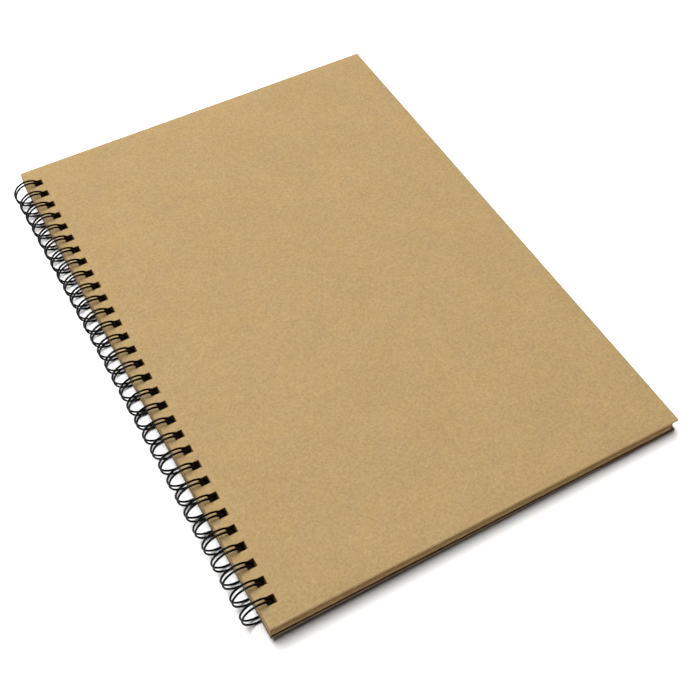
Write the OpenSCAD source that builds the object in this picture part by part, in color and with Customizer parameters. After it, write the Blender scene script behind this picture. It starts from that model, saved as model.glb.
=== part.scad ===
// A closed sketchbook bound along its long left side by a continuous twin-loop wire.
// A kraft front board and a grey-brown back board hold a block of kraft drawing sheets. Every
// leaf has the same row of near-square holes, and every leaf turns about the line through the
// middle of the wire's rings.
// All sizes are in millimetres. X runs from the spine to the fore edge, Y along the spine
// from the tail edge to the head edge, and Z is up. The book lies on the rings' undersides
// and on the fore edge of its back board, so it leans by about one degree.

/* [Leaves] */
// Length of the boards along the spine
book_length = 275; // [200:1:320]
// Width of the boards from the spine to the fore edge
book_width = 192; // [140:1:240]
// Thickness of the front board
front_thick = 1.2; // [0.6:0.1:2]
// Thickness of the back board
back_thick = 1.3; // [0.6:0.1:2]
// Distance from the top of one sheet to the top of the next
sheet_pitch = 0.2; // [0.12:0.01:0.3]
// Air between two neighbouring sheets
sheet_air = 0.02; // [0.01:0.01:0.05]
// How far the sheets stop short of the boards' fore edges
fore_recess = 2.4; // [0:0.1:5]
// How far the sheets stop short of the boards' head and tail edges
end_recess = 0.2; // [0:0.1:2]
// Room between the last sheet and the back board, where the wire's seam is tucked away
seam_room = 1.3; // [1.1:0.1:2]

/* [Holes] */
// Distance from hole to hole, three holes to the inch
hole_pitch = 8.4667; // [6:0.0001:13]
// Number of holes in the row
hole_count = 31; // [5:1:40]
// Size of one hole along the spine
hole_side = 3.8; // [3:0.1:6]
// Size of one hole from the spine towards the fore edge
hole_reach = 4.1; // [3:0.1:6]
// Board left between the spine edge and the holes
hole_margin = 3.6; // [3:0.05:7]

/* [Wire] */
// Radius of the rings, to the middle of the wire
ring_radius = 6.95; // [6.8:0.05:9]
// Thickness of the coated wire
wire_thick = 0.9; // [0.6:0.05:1.2]
// Distance between the two wires of one loop, middle to middle
twin_gap = 1.95; // [1.6:0.05:2.4]
// Gap between the spine edges and the line that the leaves turn about
axis_gap = 0.05; // [0.02:0.01:1]
// Radius of the bends where the loops meet the seam
bend_radius = 0.85; // [0.6:0.05:1.2]

/* [Colours] */
// Colour of the kraft front board
board_colour = [0.72, 0.60, 0.42];
// Colour of the grey-brown back board
backing_colour = [0.50, 0.43, 0.35];
// Colour of the kraft sheets
paper_colour = [0.66, 0.53, 0.36];
// Colour of the coated wire
wire_colour = [0.05, 0.05, 0.05];

/* [Hidden] */
sheet_names = [
    "sheet_01", "sheet_02", "sheet_03", "sheet_04", "sheet_05", "sheet_06",
    "sheet_07", "sheet_08", "sheet_09", "sheet_10", "sheet_11", "sheet_12",
    "sheet_13", "sheet_14", "sheet_15", "sheet_16", "sheet_17", "sheet_18",
    "sheet_19", "sheet_20", "sheet_21", "sheet_22", "sheet_23", "sheet_24"
];
sheet_count = len(sheet_names);
stack = front_thick + sheet_count * sheet_pitch + seam_room + back_thick;
half_stack = stack / 2;
hole_row = (hole_count - 1) * hole_pitch;
ring_height = ring_radius + wire_thick / 2;
lean = asin((ring_height - half_stack) / book_width);
far_reach = book_width * cos(lean) + half_stack * sin(lean);
ring_x = (ring_height - far_reach) / 2;
seam_level = -half_stack + back_thick + seam_room / 2;
seam_angle = asin(seam_level / ring_radius);
bend_angle = asin(bend_radius / ring_radius);
tip_radius = twin_gap / 2;
tip_angle = asin(tip_radius / ring_radius);
tip_gap_angle = asin((wire_thick + 0.35) / ring_radius);
start_angle = seam_angle + bend_angle;
loop_sweep = round(10 * (360 - bend_angle - tip_gap_angle - tip_angle)) / 10;
end_angle = start_angle + loop_sweep;
tip_skin = 0.03;
tip_lead = 0.25;
bar_lead = 0.2;
bar_length = hole_pitch - twin_gap - 2 * bend_radius;
over = 1;
$fn = 96;

// Moves a shape from the book's own frame, where the rings' centre line is the Y axis and
// the leaves are level, to its place on the floor.
module seated() {
    translate([ring_x, 0, ring_height]) rotate([0, lean, 0]) children();
}

module hole_row_cutter(low, high) {
    for (k = [0 : hole_count - 1]) {
        translate([
            axis_gap + hole_margin,
            -hole_row / 2 + k * hole_pitch - hole_side / 2,
            low - over
        ])
            cube([hole_reach, hole_side, high - low + 2 * over]);
    }
}

// One flat leaf between two levels, short of the fore edge and of both ends by the recesses.
module leaf(low, high, fore, ends) {
    seated() difference() {
        translate([axis_gap, -book_length / 2 + ends, low])
            cube([book_width - axis_gap - fore, book_length - 2 * ends, high - low]);
        hole_row_cutter(low, high);
    }
}

module front_cover() {
    color(board_colour) leaf(half_stack - front_thick, half_stack, 0, 0);
}

module back_cover() {
    color(backing_colour) leaf(-half_stack, -half_stack + back_thick, 0, 0);
}

// Sheet 0 is the first one under the front board.
module sheet(number) {
    top = half_stack - front_thick - number * sheet_pitch - sheet_air;
    color(paper_colour)
        leaf(top - sheet_pitch + sheet_air, top, fore_recess, end_recess);
}

// One wire of a loop, from the seam round to its free end.
module ring_arc() {
    rotate([90, 0, 0]) rotate([0, 0, start_angle])
        rotate_extrude(angle = loop_sweep)
            translate([ring_radius, 0]) circle(d = wire_thick);
}

// The quarter bend from the seam bar up into a loop's wire. side is 1 or -1 along Y.
module seam_bend(side) {
    rotate([0, -start_angle, 0])
        translate([ring_radius, side * (tip_radius + bend_radius), 0])
            rotate([90, 0, 90]) rotate([0, 0, side > 0 ? 180 : 270])
                rotate_extrude(angle = 90)
                    translate([bend_radius, 0]) circle(d = wire_thick);
}

// The half bend that joins a loop's two wires at its free end, with a short straight lead
// that slips a hair's breadth over each wire.
module loop_tip() {
    rotate([0, -end_angle, 0])
        translate([ring_radius, 0, 0]) {
            rotate([90, 0, 90])
                rotate_extrude(angle = 180)
                    translate([tip_radius, 0]) circle(d = wire_thick + 2 * tip_skin);
            for (side = [-1, 1]) {
                translate([0, side * tip_radius, -tip_lead])
                    cylinder(d = wire_thick + 2 * tip_skin, h = tip_lead);
            }
        }
}

// The straight wire in the seam, from one loop to the next, slipped over both bends' ends.
module seam_bar() {
    rotate([0, -start_angle, 0])
        translate([ring_radius, tip_radius + bend_radius - bar_lead, -bend_radius])
            rotate([-90, 0, 0])
                cylinder(d = wire_thick + 2 * tip_skin, h = bar_length + 2 * bar_lead);
}

module loop() {
    for (side = [-1, 1]) {
        translate([0, side * tip_radius, 0]) ring_arc();
        seam_bend(side);
    }
    loop_tip();
}

module wire_binding() {
    color(wire_colour) seated() union() {
        for (k = [0 : hole_count - 1]) {
            translate([0, -hole_row / 2 + k * hole_pitch, 0]) loop();
        }
        for (k = [0 : hole_count - 2]) {
            translate([0, -hole_row / 2 + k * hole_pitch, 0]) seam_bar();
        }
    }
}

module sheet_01() { sheet(0); }
module sheet_02() { sheet(1); }
module sheet_03() { sheet(2); }
module sheet_04() { sheet(3); }
module sheet_05() { sheet(4); }
module sheet_06() { sheet(5); }
module sheet_07() { sheet(6); }
module sheet_08() { sheet(7); }
module sheet_09() { sheet(8); }
module sheet_10() { sheet(9); }
module sheet_11() { sheet(10); }
module sheet_12() { sheet(11); }
module sheet_13() { sheet(12); }
module sheet_14() { sheet(13); }
module sheet_15() { sheet(14); }
module sheet_16() { sheet(15); }
module sheet_17() { sheet(16); }
module sheet_18() { sheet(17); }
module sheet_19() { sheet(18); }
module sheet_20() { sheet(19); }
module sheet_21() { sheet(20); }
module sheet_22() { sheet(21); }
module sheet_23() { sheet(22); }
module sheet_24() { sheet(23); }

front_cover();
sheet_01();
sheet_02();
sheet_03();
sheet_04();
sheet_05();
sheet_06();
sheet_07();
sheet_08();
sheet_09();
sheet_10();
sheet_11();
sheet_12();
sheet_13();
sheet_14();
sheet_15();
sheet_16();
sheet_17();
sheet_18();
sheet_19();
sheet_20();
sheet_21();
sheet_22();
sheet_23();
sheet_24();
back_cover();
wire_binding();
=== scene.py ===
import math
import random

import bmesh
import bpy
from mathutils import Euler, Matrix, Vector


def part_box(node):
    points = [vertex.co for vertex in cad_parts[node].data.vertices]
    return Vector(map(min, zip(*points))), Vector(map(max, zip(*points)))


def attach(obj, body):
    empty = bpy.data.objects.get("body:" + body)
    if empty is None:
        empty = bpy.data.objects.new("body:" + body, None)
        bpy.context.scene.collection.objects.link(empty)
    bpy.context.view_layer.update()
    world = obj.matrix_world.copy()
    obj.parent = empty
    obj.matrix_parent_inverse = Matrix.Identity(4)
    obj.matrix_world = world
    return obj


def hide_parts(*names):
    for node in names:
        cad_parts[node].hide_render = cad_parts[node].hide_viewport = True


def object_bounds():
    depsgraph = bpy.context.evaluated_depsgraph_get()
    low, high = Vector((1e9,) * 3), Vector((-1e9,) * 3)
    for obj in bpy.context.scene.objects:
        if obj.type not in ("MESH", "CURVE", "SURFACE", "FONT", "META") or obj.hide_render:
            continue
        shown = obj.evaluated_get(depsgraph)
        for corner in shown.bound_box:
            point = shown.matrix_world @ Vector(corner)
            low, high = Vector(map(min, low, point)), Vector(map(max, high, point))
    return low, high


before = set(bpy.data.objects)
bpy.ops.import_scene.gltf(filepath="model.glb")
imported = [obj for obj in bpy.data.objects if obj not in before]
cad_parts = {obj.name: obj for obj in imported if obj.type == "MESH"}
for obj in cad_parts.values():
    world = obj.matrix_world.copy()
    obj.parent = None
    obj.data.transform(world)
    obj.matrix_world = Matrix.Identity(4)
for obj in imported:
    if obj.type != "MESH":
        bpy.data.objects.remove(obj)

CAD_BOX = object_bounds()
SHEETS = sorted(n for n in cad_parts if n.startswith("sheet_"))
MM = 0.001
random.seed(31)

# Sizes of the book, in millimetres in its own frame: u from the rings' centre line towards
# the fore edge, y along the spine, n up through the leaves.
# The boards, and how far their spine edges are from the rings' centre line.
LENGTH, WIDTH = 275.0, 192.0
EDGE = 0.05
# The row of holes: a hole's size along the spine and across it, and the board left beside it.
PITCH, HOLES = 8.4667, 31
SIDE, REACH, MARGIN = 3.8, 4.1, 3.6
ROW = (HOLES - 1) * PITCH
# The stack: both boards, one sheet with the air over it, and the room for the wire's seam.
FRONT, BACK, STEP, AIR, ROOM = 1.2, 1.3, 0.2, 0.02, 1.3
HALF = (FRONT + len(SHEETS) * STEP + ROOM + BACK) / 2
# How far the sheets stop short of the boards, and how unevenly they lie.
FORE_RECESS, END_RECESS = 2.4, 0.2
FORE_SLIP, END_SLIP = (-0.18, 0.10), (-0.10, 0.10)
# The wire: rings, thickness, gap between twins, bends at the seam, air between tip and seam.
RING, WIRE, TWIN, BEND, TIP_GAP = 6.95, 0.9, 1.95, 0.85, 0.35
# The meshes: rounding of the boards' edges, and cells from the holes to the fore edge.
ROUNDING = 0.06
BOARD_CELLS, SHEET_CELLS = 24, 8

wire_low, wire_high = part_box("wire_binding")
CENTRE = Vector(((wire_low[0] + wire_high[0]) / 2, 0, (wire_low[2] + wire_high[2]) / 2))
LEAN = math.asin((RING + WIRE / 2 - HALF) / WIDTH)
SEAT = Matrix.Translation(CENTRE) @ Matrix.Rotation(LEAN, 4, "Y")


# ---------------------------------------------------------------- materials
class Nodes:
    """A short way to write a node tree."""

    def __init__(self, name):
        self.mat = bpy.data.materials.new(name)
        self.mat.use_nodes = True
        self.tree = self.mat.node_tree
        self.tree.nodes.clear()
        self.out = self.add("ShaderNodeOutputMaterial")
        self.bsdf = self.add("ShaderNodeBsdfPrincipled")
        self.link(self.bsdf.outputs[0], self.out.inputs[0])
        self.coord = self.add("ShaderNodeTexCoord").outputs["Object"]

    def add(self, kind, **props):
        node = self.tree.nodes.new(kind)
        for key, value in props.items():
            setattr(node, key, value)
        return node

    def link(self, a, b):
        self.tree.links.new(a, b)

    def put(self, socket, value):
        if isinstance(value, bpy.types.NodeSocket):
            self.link(value, socket)
        else:
            socket.default_value = value

    def math(self, op, a, b=0.0, c=0.0):
        node = self.add("ShaderNodeMath", operation=op)
        for socket, value in zip(node.inputs, (a, b, c)):
            self.put(socket, value)
        return node.outputs[0]

    def mapped(self, scale=(1, 1, 1), move=(0, 0, 0)):
        node = self.add("ShaderNodeMapping")
        node.inputs["Location"].default_value = move
        node.inputs["Scale"].default_value = scale
        self.link(self.coord, node.inputs["Vector"])
        return node.outputs[0]

    def noise(self, vector, scale, detail=2.0, rough=0.5, distort=0.0):
        node = self.add("ShaderNodeTexNoise")
        self.link(vector, node.inputs["Vector"])
        node.inputs["Scale"].default_value = scale
        node.inputs["Detail"].default_value = detail
        node.inputs["Roughness"].default_value = rough
        node.inputs["Distortion"].default_value = distort
        return node.outputs[0]

    def ramp(self, value, low, high, to_low=0.0, to_high=1.0, smooth=True):
        node = self.add("ShaderNodeMapRange", clamp=True)
        node.interpolation_type = "SMOOTHSTEP" if smooth else "LINEAR"
        self.link(value, node.inputs[0])
        for i, number in enumerate((low, high, to_low, to_high), 1):
            node.inputs[i].default_value = number
        return node.outputs[0]

    def mix(self, share, a, b, blend="MIX"):
        node = self.add("ShaderNodeMix", data_type="RGBA", blend_type=blend)
        self.put(node.inputs[0], share)
        for socket, value in ((node.inputs[6], a), (node.inputs[7], b)):
            self.put(socket, value)
        return node.outputs[2]

    def bump(self, height, strength, distance):
        node = self.add("ShaderNodeBump")
        node.inputs["Strength"].default_value = strength
        node.inputs["Distance"].default_value = distance
        self.link(height, node.inputs["Height"])
        return node.outputs[0]


def rgb(r, g, b):
    """An sRGB colour of 0 to 255 as linear RGBA."""
    def one(x):
        x /= 255
        return x / 12.92 if x <= 0.04045 else ((x + 0.055) / 1.055) ** 2.4
    return (one(r), one(g), one(b), 1.0)


def distance_inside(t, value, low, high):
    """How far a coordinate is inside the span from low to high, negative outside it."""
    return t.math("MINIMUM", t.math("SUBTRACT", value, low), t.math("SUBTRACT", high, value))


def fibres(t, where, cell, length, width, share, seed):
    """Single curved fibres, at most one to a cell, each lying its own way: a mask from 0 to 1.
    cell, length and width are in millimetres, and share is how many of the cells hold one."""
    shifted = t.add("ShaderNodeVectorMath", operation="ADD")
    t.link(where, shifted.inputs[0])
    shifted.inputs[1].default_value = (seed * 0.37, seed * 0.71, 0)
    cells = t.add("ShaderNodeTexVoronoi", voronoi_dimensions="2D", feature="F1")
    t.link(shifted.outputs[0], cells.inputs["Vector"])
    cells.inputs["Scale"].default_value = 1 / (cell * MM)
    offset = t.add("ShaderNodeVectorMath", operation="SUBTRACT")
    t.link(shifted.outputs[0], offset.inputs[0])
    t.link(cells.outputs["Position"], offset.inputs[1])
    chance = t.add("ShaderNodeSeparateColor")
    t.link(cells.outputs["Color"], chance.inputs[0])
    turned = t.add("ShaderNodeVectorRotate", rotation_type="Z_AXIS")
    t.link(offset.outputs[0], turned.inputs["Vector"])
    t.link(t.math("MULTIPLY", chance.outputs[0], 2 * math.pi), turned.inputs["Angle"])
    axes = t.add("ShaderNodeSeparateXYZ")
    t.link(turned.outputs[0], axes.inputs[0])
    along, across = axes.outputs[0], axes.outputs[1]
    curl = t.math("MULTIPLY", t.math("SUBTRACT", chance.outputs[1], 0.5), 0.9 / (length * MM))
    across = t.math("MULTIPLY_ADD", t.math("MULTIPLY", along, along), curl, across)
    thin = t.ramp(t.math("ABSOLUTE", across), 0.25 * width * MM, width * MM, 1.0, 0.0)
    short = t.ramp(t.math("ABSOLUTE", along), 0.28 * length * MM, 0.5 * length * MM, 1.0, 0.0)
    there = t.math("LESS_THAN", chance.outputs[2], share)
    return t.math("MULTIPLY", t.math("MULTIPLY", thin, short), there)


def grey(t, value):
    """The same number as red, green and blue."""
    shade = t.add("ShaderNodeCombineColor")
    for socket in shade.inputs[:3]:
        t.link(value, socket)
    return shade.outputs[0]


# The colours of the pale and the deep fibres, the bark, and the painted shade along cut edges.
KRAFT_FLECKS = rgb(204, 178, 132), rgb(122, 94, 60), rgb(93, 66, 40), rgb(130, 114, 86)
SHADED_BACK_FLECKS = rgb(168, 152, 130), rgb(79, 66, 52), rgb(56, 46, 38), rgb(82, 71, 58)


def pulp(name, light, dark, flecks, fore=0, ends=0, rough=0.86, sheets=False):
    """The face of board or paper: cloudy pulp, single fibres lying every way, a few flecks of
    bark, and a thin rim of painted shade along cut edges and around punched holes. fore and ends
    are how far the leaf stops short of the boards. With sheets, every sheet has its own pattern."""
    t = Nodes(name)
    axes = t.add("ShaderNodeSeparateXYZ")
    t.link(t.coord, axes.inputs[0])
    u, y, n = axes.outputs
    where = t.coord
    if sheets:
        level = t.math("DIVIDE", t.math("SUBTRACT", n, (HALF - FRONT - AIR / 2) * MM), STEP * MM)
        level = t.math("FLOOR", level)
        apart = t.add("ShaderNodeVectorMath", operation="MULTIPLY_ADD")
        t.link(grey(t, level), apart.inputs[0])
        apart.inputs[1].default_value = (0.173, 0.291, 0.117)
        t.link(t.coord, apart.inputs[2])
        where = apart.outputs[0]
    cloud = t.noise(where, 45, 3, 0.6)
    patch = t.noise(where, 260, 2, 0.5)
    hue = t.noise(where, 120, 3, 0.7)
    mottle = t.noise(where, 700, 2, 0.6, 0.4)
    grain = t.noise(where, 1900, 2, 0.65)
    pale = t.math("MAXIMUM", fibres(t, where, 1.5, 2.1, 0.085, 0.75, 1),
                  fibres(t, where, 2.3, 3.2, 0.11, 0.6, 5))
    deep = t.math("MAXIMUM", fibres(t, where, 1.7, 2.2, 0.085, 0.6, 9),
                  fibres(t, where, 2.9, 3.6, 0.10, 0.5, 13))
    bark = fibres(t, where, 5.5, 1.1, 0.13, 0.22, 17)
    tone = t.ramp(cloud, 0.2, 0.8, 0.955, 1.045, smooth=False)
    for field, swing in ((patch, 0.055), (mottle, 0.045), (grain, 0.155)):
        share = t.ramp(field, 0.2, 0.8, 1 - swing, 1 + swing, smooth=False)
        tone = t.math("MULTIPLY", tone, share)
    colour = t.mix(t.ramp(mottle, 0.35, 0.65), dark, light)
    colour = t.mix(t.math("MULTIPLY", pale, 0.17), colour, flecks[0])
    colour = t.mix(t.math("MULTIPLY", deep, 0.16), colour, flecks[1])
    colour = t.mix(t.math("MULTIPLY", bark, 0.40), colour, flecks[2])

    edge = t.math("MINIMUM", distance_inside(t, u, EDGE * MM, (WIDTH - fore) * MM),
                  distance_inside(t, y, (ends - LENGTH / 2) * MM, (LENGTH / 2 - ends) * MM))
    nearest = t.math("PINGPONG", t.math("SUBTRACT", y, ROW / 2 * MM), PITCH / 2 * MM)
    across = t.math("ABSOLUTE", t.math("SUBTRACT", u, (EDGE + MARGIN + REACH / 2) * MM))
    hole = t.math("MAXIMUM", t.math("SUBTRACT", across, REACH / 2 * MM),
                  t.math("SUBTRACT", nearest, SIDE / 2 * MM))
    rub = t.noise(where, 1100, 2, 0.6)
    worn = t.math("MULTIPLY", t.ramp(edge, 0.05 * MM, 1.1 * MM, 1.0, 0.0), t.ramp(rub, 0.42, 0.62))
    colour = t.mix(t.math("MULTIPLY", worn, 0.16), colour, flecks[0])
    # A thin rim of painted shade along the cut edges.
    edge_shade = t.ramp(edge, 0.12 * MM, 0.46 * MM, 1.0, 0.0)
    colour = t.mix(t.math("MULTIPLY", edge_shade, 0.55), colour, flecks[3])
    # A ring of painted shade around each punched hole.
    hole_shade = t.ramp(hole, 0.0, 0.35 * MM, 1.0, 0.0)
    in_row = t.math("LESS_THAN", t.math("ABSOLUTE", y), (ROW + PITCH) / 2 * MM)
    hole_shade = t.math("MULTIPLY", hole_shade, in_row)
    colour = t.mix(t.math("MULTIPLY", hole_shade, 0.35), colour, flecks[1])

    tint = t.mix(t.ramp(hue, 0.25, 0.75), (1.026, 0.998, 0.944, 1), (0.974, 1.002, 1.056, 1))
    colour = t.mix(1.0, colour, tint, "MULTIPLY")
    colour = t.mix(1.0, colour, grey(t, tone), "MULTIPLY")
    t.link(colour, t.bsdf.inputs["Base Color"])
    t.link(t.ramp(grain, 0.2, 0.8, rough - 0.06, rough + 0.07, smooth=False),
           t.bsdf.inputs["Roughness"])
    t.bsdf.inputs["Specular IOR Level"].default_value = 0.25
    height = t.math("MULTIPLY_ADD", mottle, 0.6, t.math("MULTIPLY", grain, 0.4))
    height = t.math("MULTIPLY_ADD", pale, 0.30, height)
    height = t.math("MULTIPLY_ADD", worn, -0.25, height)
    t.link(t.bump(height, 0.30, 0.00005), t.bsdf.inputs["Normal"])
    return t.mat


def cut_edge(name, light, dark, layers):
    """The cut edge of board or paper: thin pressed layers along the edge, and torn fibres.
    layers is how many there are to the metre."""
    t = Nodes(name)
    lines = t.noise(t.mapped(scale=(0.05, 0.05, 1.0)), layers, 2, 0.6, 0.2)
    fuzz = t.noise(t.mapped(), 1500, 3, 0.65)
    patch = t.noise(t.mapped(scale=(1, 1, 0.4)), 160, 2, 0.5)
    colour = t.mix(t.ramp(lines, 0.36, 0.64), dark, light)
    torn = [c * 1.45 for c in light[:3]] + [1]
    colour = t.mix(t.ramp(fuzz, 0.55, 0.75, 0.0, 0.40), colour, torn)
    colour = t.mix(t.ramp(patch, 0.5, 0.72, 0.0, 0.30), colour, dark)
    t.link(colour, t.bsdf.inputs["Base Color"])
    t.link(t.ramp(fuzz, 0.2, 0.8, 0.84, 0.98, smooth=False), t.bsdf.inputs["Roughness"])
    t.bsdf.inputs["Specular IOR Level"].default_value = 0.12
    height = t.math("MULTIPLY_ADD", lines, 0.7, t.math("MULTIPLY", fuzz, 0.5))
    t.link(t.bump(height, 0.5, 0.00008), t.bsdf.inputs["Normal"])
    return t.mat


def coated_wire(name):
    """Black nylon over steel: deep, slightly orange-peeled, and rubbed in patches."""
    t = Nodes(name)
    peel = t.noise(t.mapped(), 1700, 2, 0.55)
    rub = t.noise(t.mapped(move=(2, 0, 1)), 420, 3, 0.6, 0.4)
    coat, rubbed = (0.0018, 0.0018, 0.002, 1), (0.007, 0.0065, 0.006, 1)
    colour = t.mix(t.ramp(rub, 0.58, 0.74), coat, rubbed)
    t.link(colour, t.bsdf.inputs["Base Color"])
    t.link(t.ramp(rub, 0.3, 0.75, 0.26, 0.42, smooth=False), t.bsdf.inputs["Roughness"])
    t.bsdf.inputs["Specular IOR Level"].default_value = 0.08
    t.link(t.bump(peel, 0.18, 0.00003), t.bsdf.inputs["Normal"])
    return t.mat


def bare_steel(name):
    """The wire's two cut ends, with fine drag marks."""
    t = Nodes(name)
    scratch = t.noise(t.mapped(scale=(1, 8, 1)), 2600, 2, 0.6)
    colour = t.mix(scratch, (0.36, 0.36, 0.38, 1), (0.62, 0.62, 0.64, 1))
    t.link(colour, t.bsdf.inputs["Base Color"])
    t.bsdf.inputs["Metallic"].default_value = 1.0
    t.link(t.ramp(scratch, 0.2, 0.8, 0.28, 0.5), t.bsdf.inputs["Roughness"])
    t.link(t.bump(scratch, 0.2, 0.00002), t.bsdf.inputs["Normal"])
    return t.mat


BOARD = pulp("kraft_board", rgb(159, 134, 92), rgb(152, 127, 86), KRAFT_FLECKS)
# Lighter than the board's face: partly the cut edge's own colour, partly painted light for the dim
# sides.
BOARD_EDGE_PAINTED_LIGHT = cut_edge("kraft_board_edge_painted_light", rgb(183, 147, 97), rgb(158, 124, 79), 5200)
# The back board and its edge are a darker, greyer brown than the kraft front board: painted shade
# for the dim strip next to the floor.
SHADED_BACK_BOARD = pulp("back_board_painted_shade", rgb(119, 101, 79), rgb(105, 88, 67), SHADED_BACK_FLECKS)
SHADED_BACK_EDGE = cut_edge("back_board_edge_painted_shade", rgb(124, 104, 83), rgb(96, 79, 62), 5200)
PAPER = pulp("kraft_paper", rgb(158, 132, 91), rgb(151, 125, 85), KRAFT_FLECKS,
             FORE_RECESS, END_RECESS, 0.9, sheets=True)
# Lighter than the paper's face: partly the cut edge's own colour, partly painted light for the dim
# sides.
PAPER_EDGE_PAINTED_LIGHT = cut_edge("kraft_paper_edge_painted_light", rgb(181, 147, 101), rgb(153, 122, 83), 9000)
# The punched holes' walls are darker than the cut edges: painted shade inside the holes.
HOLE_WALL_SHADED = cut_edge("hole_wall_painted_shade", rgb(152, 112, 70), rgb(128, 93, 57), 5200)
COATING = coated_wire("black_coating")
STEEL = bare_steel("cut_wire_end")


# ---------------------------------------------------------------- leaves
def hole_centres():
    return [-ROW / 2 + k * PITCH for k in range(HOLES)]


def place(name, bm):
    """A new object from a mesh made in the book's own frame, set down in the row's."""
    mesh = bpy.data.meshes.new(name)
    bm.to_mesh(mesh)
    bm.free()
    obj = bpy.data.objects.new(name, mesh)
    obj.matrix_world = SEAT
    bpy.context.scene.collection.objects.link(obj)
    return obj


def leaf(name, low, high, fore, ends, cells, round_by, slip=(0.0, 0.0)):
    """A flat leaf with its row of near-square holes, all quads, from level low to level high.
    Its edges are rounded by round_by, and slip moves its fore edge and its two ends.
    Faces have material 0, outer edges 1 and hole walls 2."""
    us = [EDGE, EDGE + MARGIN, EDGE + MARGIN + REACH]
    us += [us[2] + (WIDTH - fore + slip[0] - us[2]) * (i + 1) / cells for i in range(cells)]
    ys = [-LENGTH / 2 + ends + slip[1]]
    for y in hole_centres():
        ys += [y - SIDE / 2, y + SIDE / 2]
    ys.append(LENGTH / 2 - ends + slip[1])
    bm = bmesh.new()
    grid = {}

    def vert(i, j, top):
        if (i, j, top) not in grid:
            grid[i, j, top] = bm.verts.new(MM * Vector((us[i], ys[j], high if top else low)))
        return grid[i, j, top]

    def is_hole(i, j):
        return i == 1 and j % 2 == 1 and 0 < j < len(ys) - 2

    def solid(i, j):
        return 0 <= i < len(us) - 1 and 0 <= j < len(ys) - 1 and not is_hole(i, j)

    for i in range(len(us) - 1):
        for j in range(len(ys) - 1):
            if not solid(i, j):
                continue
            corners = [(i, j), (i + 1, j), (i + 1, j + 1), (i, j + 1)]
            bm.faces.new([vert(a, b, True) for a, b in corners])
            bm.faces.new([vert(a, b, False) for a, b in reversed(corners)])
            for k, (di, dj) in enumerate(((0, -1), (1, 0), (0, 1), (-1, 0))):
                if not solid(i + di, j + dj):
                    a, b = corners[k], corners[(k + 1) % 4]
                    wall = bm.faces.new([vert(*a, False), vert(*b, False),
                                         vert(*b, True), vert(*a, True)])
                    wall.material_index = 2 if is_hole(i + di, j + dj) else 1
    bm.normal_update()
    if round_by:
        sharp = [e for e in bm.edges if len(e.link_faces) == 2
                 and e.link_faces[0].normal.dot(e.link_faces[1].normal) < 0.5]
        bmesh.ops.bevel(bm, geom=sharp, offset=round_by * MM, segments=2, profile=0.6,
                        affect="EDGES", clamp_overlap=True)
    return place(name, bm)


def dress(obj, *materials, smooth=True):
    """Gives a piece its materials in slot order, and smooth shading with sharp corners."""
    for material in materials:
        obj.data.materials.append(material)
    if smooth:
        obj.data.shade_smooth()
        obj.data.set_sharp_from_angle(angle=math.radians(50))


front = leaf("front_board", HALF - FRONT, HALF, 0, 0, BOARD_CELLS, ROUNDING)
dress(front, BOARD, BOARD_EDGE_PAINTED_LIGHT, HOLE_WALL_SHADED)
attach(front, "front_cover")
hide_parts("front_cover")

back = leaf("back_board", -HALF, -HALF + BACK, 0, 0, BOARD_CELLS, ROUNDING)
dress(back, SHADED_BACK_BOARD, SHADED_BACK_EDGE, HOLE_WALL_SHADED)
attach(back, "base")
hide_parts("back_cover")

for number, node in enumerate(SHEETS):
    top = HALF - FRONT - number * STEP - AIR
    slip = (random.uniform(*FORE_SLIP), random.uniform(*END_SLIP))
    page = leaf("page_" + node[-2:], top - STEP + AIR, top, FORE_RECESS, END_RECESS,
                SHEET_CELLS, 0, slip)
    dress(page, PAPER, PAPER_EDGE_PAINTED_LIGHT, HOLE_WALL_SHADED, smooth=False)
    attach(page, node)
    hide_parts(node)


# ---------------------------------------------------------------- wire
def on_ring(angle, y, along=0.0):
    """A point on a ring at an angle, moved along the ring's tangent there."""
    u = RING * math.cos(angle) - along * math.sin(angle)
    n = RING * math.sin(angle) + along * math.cos(angle)
    return Vector((u, y, n))


def wire_path():
    """The middle of the one continuous wire, from its tail end to its head end. A loop is a
    bend up from the seam, an arc, a half turn at the tip, an arc back and a bend down."""
    level = -HALF + BACK + ROOM / 2
    start = math.asin(level / RING) + math.asin(BEND / RING)
    sweep = 2 * math.pi - math.asin(BEND / RING) - math.asin((WIRE + TIP_GAP) / RING)
    sweep -= math.asin(TWIN / 2 / RING)
    arc, turn, half = 56, 6, 12  # steps in an arc, a bend and a tip
    points = []
    for y in hole_centres():
        left, right = y - TWIN / 2, y + TWIN / 2
        for i in range(turn + 1):
            a = math.pi / 2 * i / turn
            points.append(on_ring(start, left - BEND + BEND * math.sin(a), -BEND * math.cos(a)))
        for i in range(1, arc):
            points.append(on_ring(start + sweep * i / arc, left))
        for i in range(half + 1):
            a = math.pi * i / half
            side, along = -TWIN / 2 * math.cos(a), TWIN / 2 * math.sin(a)
            points.append(on_ring(start + sweep, y + side, along))
        for i in range(1, arc):
            points.append(on_ring(start + sweep * (1 - i / arc), right))
        for i in range(turn + 1):
            a = math.pi / 2 * i / turn
            points.append(on_ring(start, right + BEND - BEND * math.cos(a), -BEND * math.sin(a)))
    return points


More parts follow.
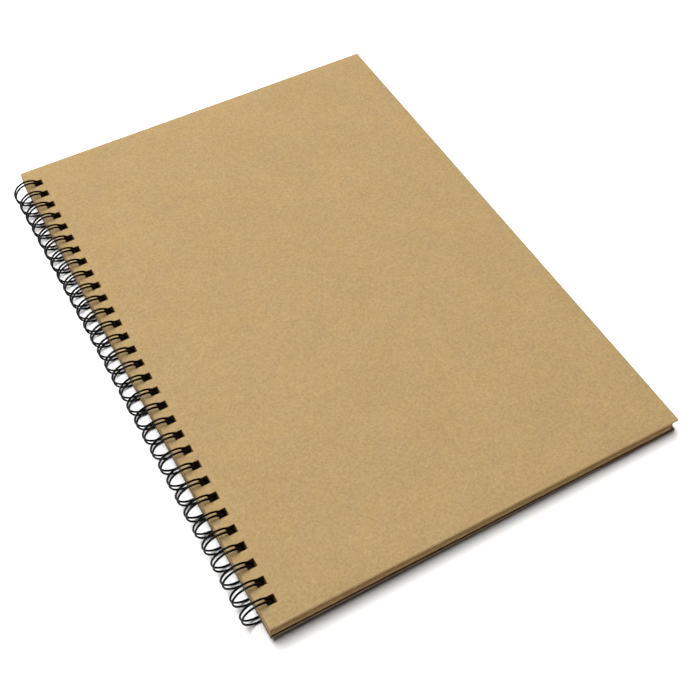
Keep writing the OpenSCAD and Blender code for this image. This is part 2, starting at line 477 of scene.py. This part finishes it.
def tube(name, points, radius, sides):
    """A round tube along points, with a frame carried along so that it never twists."""
    bm = bmesh.new()
    rings = []
    across = None
    for i, p in enumerate(points):
        ahead = (points[min(i + 1, len(points) - 1)] - points[max(i - 1, 0)]).normalized()
        if across is None:
            across = Vector((1, 0, 0)).cross(ahead).normalized()
        across = (across - across.dot(ahead) * ahead).normalized()
        other = ahead.cross(across)
        ring = []
        for s in range(sides):
            a = 2 * math.pi * s / sides
            q = p + radius * (math.cos(a) * across + math.sin(a) * other)
            ring.append(bm.verts.new(MM * q))
        rings.append(ring)
    for a, b in zip(rings, rings[1:]):
        for s in range(sides):
            t = (s + 1) % sides
            bm.faces.new([a[s], a[t], b[t], b[s]])
    for ring, flip in ((rings[0], True), (rings[-1], False)):
        end = bm.faces.new(ring[::-1] if flip else ring)
        end.material_index = 1
    bmesh.ops.recalc_face_normals(bm, faces=bm.faces)
    return place(name, bm)


wire = tube("twin_loop_wire", wire_path(), WIRE / 2, 12)
dress(wire, COATING, STEEL)
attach(wire, "base")
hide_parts("wire_binding")


# ---------------------------------------------------------------- floor, light, camera
def studio_white_painted_glow(name):
    """Plain white with a painted glow that grows far from the book, where a studio's floor would
    curve up into light.
    """
    t = Nodes(name)
    t.bsdf.inputs["Base Color"].default_value = (0.98, 0.98, 0.98, 1)
    t.bsdf.inputs["Roughness"].default_value = 0.9
    t.bsdf.inputs["Specular IOR Level"].default_value = 0.1
    t.bsdf.inputs["Emission Color"].default_value = (1, 1, 1, 1)
    away = t.add("ShaderNodeVectorMath", operation="LENGTH")
    t.link(t.coord, away.inputs[0])
    t.link(t.ramp(away.outputs["Value"], 0.5, 1.8), t.bsdf.inputs["Emission Strength"])
    return t.mat


FLOOR_REACH = 4.0
FLOOR_DROP = 0.05 * MM  # just under the book, so that no two faces share a plane

bm = bmesh.new()
bmesh.ops.create_grid(bm, x_segments=8, y_segments=8, size=FLOOR_REACH)
mesh = bpy.data.meshes.new("studio_floor")
bm.to_mesh(mesh)
bm.free()
floor = bpy.data.objects.new("studio_floor", mesh)
floor.location = (0, 0, CAD_BOX[0][2] - FLOOR_DROP)
mesh.materials.append(studio_white_painted_glow("floor_white_painted_glow"))
bpy.context.scene.collection.objects.link(floor)

world = bpy.data.worlds.new("studio")
world.use_nodes = True
sky = world.node_tree
background = sky.nodes["Background"]
background.inputs[0].default_value = (1, 1, 1, 1)
# The backdrop shows white, and lights the book only a little, as a dim studio does.
AMBIENT, BACKDROP = 0.02, 1.0
path = sky.nodes.new("ShaderNodeLightPath")
seen = sky.nodes.new("ShaderNodeMapRange")
sky.links.new(path.outputs["Is Camera Ray"], seen.inputs[0])
seen.inputs[3].default_value = AMBIENT
seen.inputs[4].default_value = BACKDROP
sky.links.new(seen.outputs[0], background.inputs[1])
bpy.context.scene.world = world


def soft_light(name, spot, target, size, power):
    """A round soft light at a spot, aimed at a target, that the camera doesn't see."""
    data = bpy.data.lights.new(name, "AREA")
    data.shape = "DISK"
    data.size = size
    data.energy = power
    obj = bpy.data.objects.new(name, data)
    obj.location = spot
    aim = Vector(target) - Vector(spot)
    obj.rotation_euler = aim.to_track_quat("-Z", "Y").to_euler()
    obj.visible_camera = False
    bpy.context.scene.collection.objects.link(obj)


soft_light("overhead", (-0.38, 0.51, 2.40), (0, 0, 0), 1.80, 84)
soft_light("behind", (0.20, 1.75, 1.95), (0, 0, 0), 1.40, 38)
soft_light("near_card", (-0.45, -2.20, 0.04), (0, -0.13, 0.005), 0.06, 10)

data = bpy.data.cameras.new("photo_view")
data.lens = 59.17
data.sensor_width = 36
data.clip_start = 0.01
camera = bpy.data.objects.new("photo_view", data)
camera.location = (-0.14512, -0.30556, 0.41424)
camera.rotation_euler = Euler([math.radians(a) for a in (36.8381, 0.842, -29.1617)], "XYZ")
bpy.context.scene.collection.objects.link(camera)
bpy.context.scene.camera = camera
bpy.context.scene.view_settings.view_transform = "Standard"
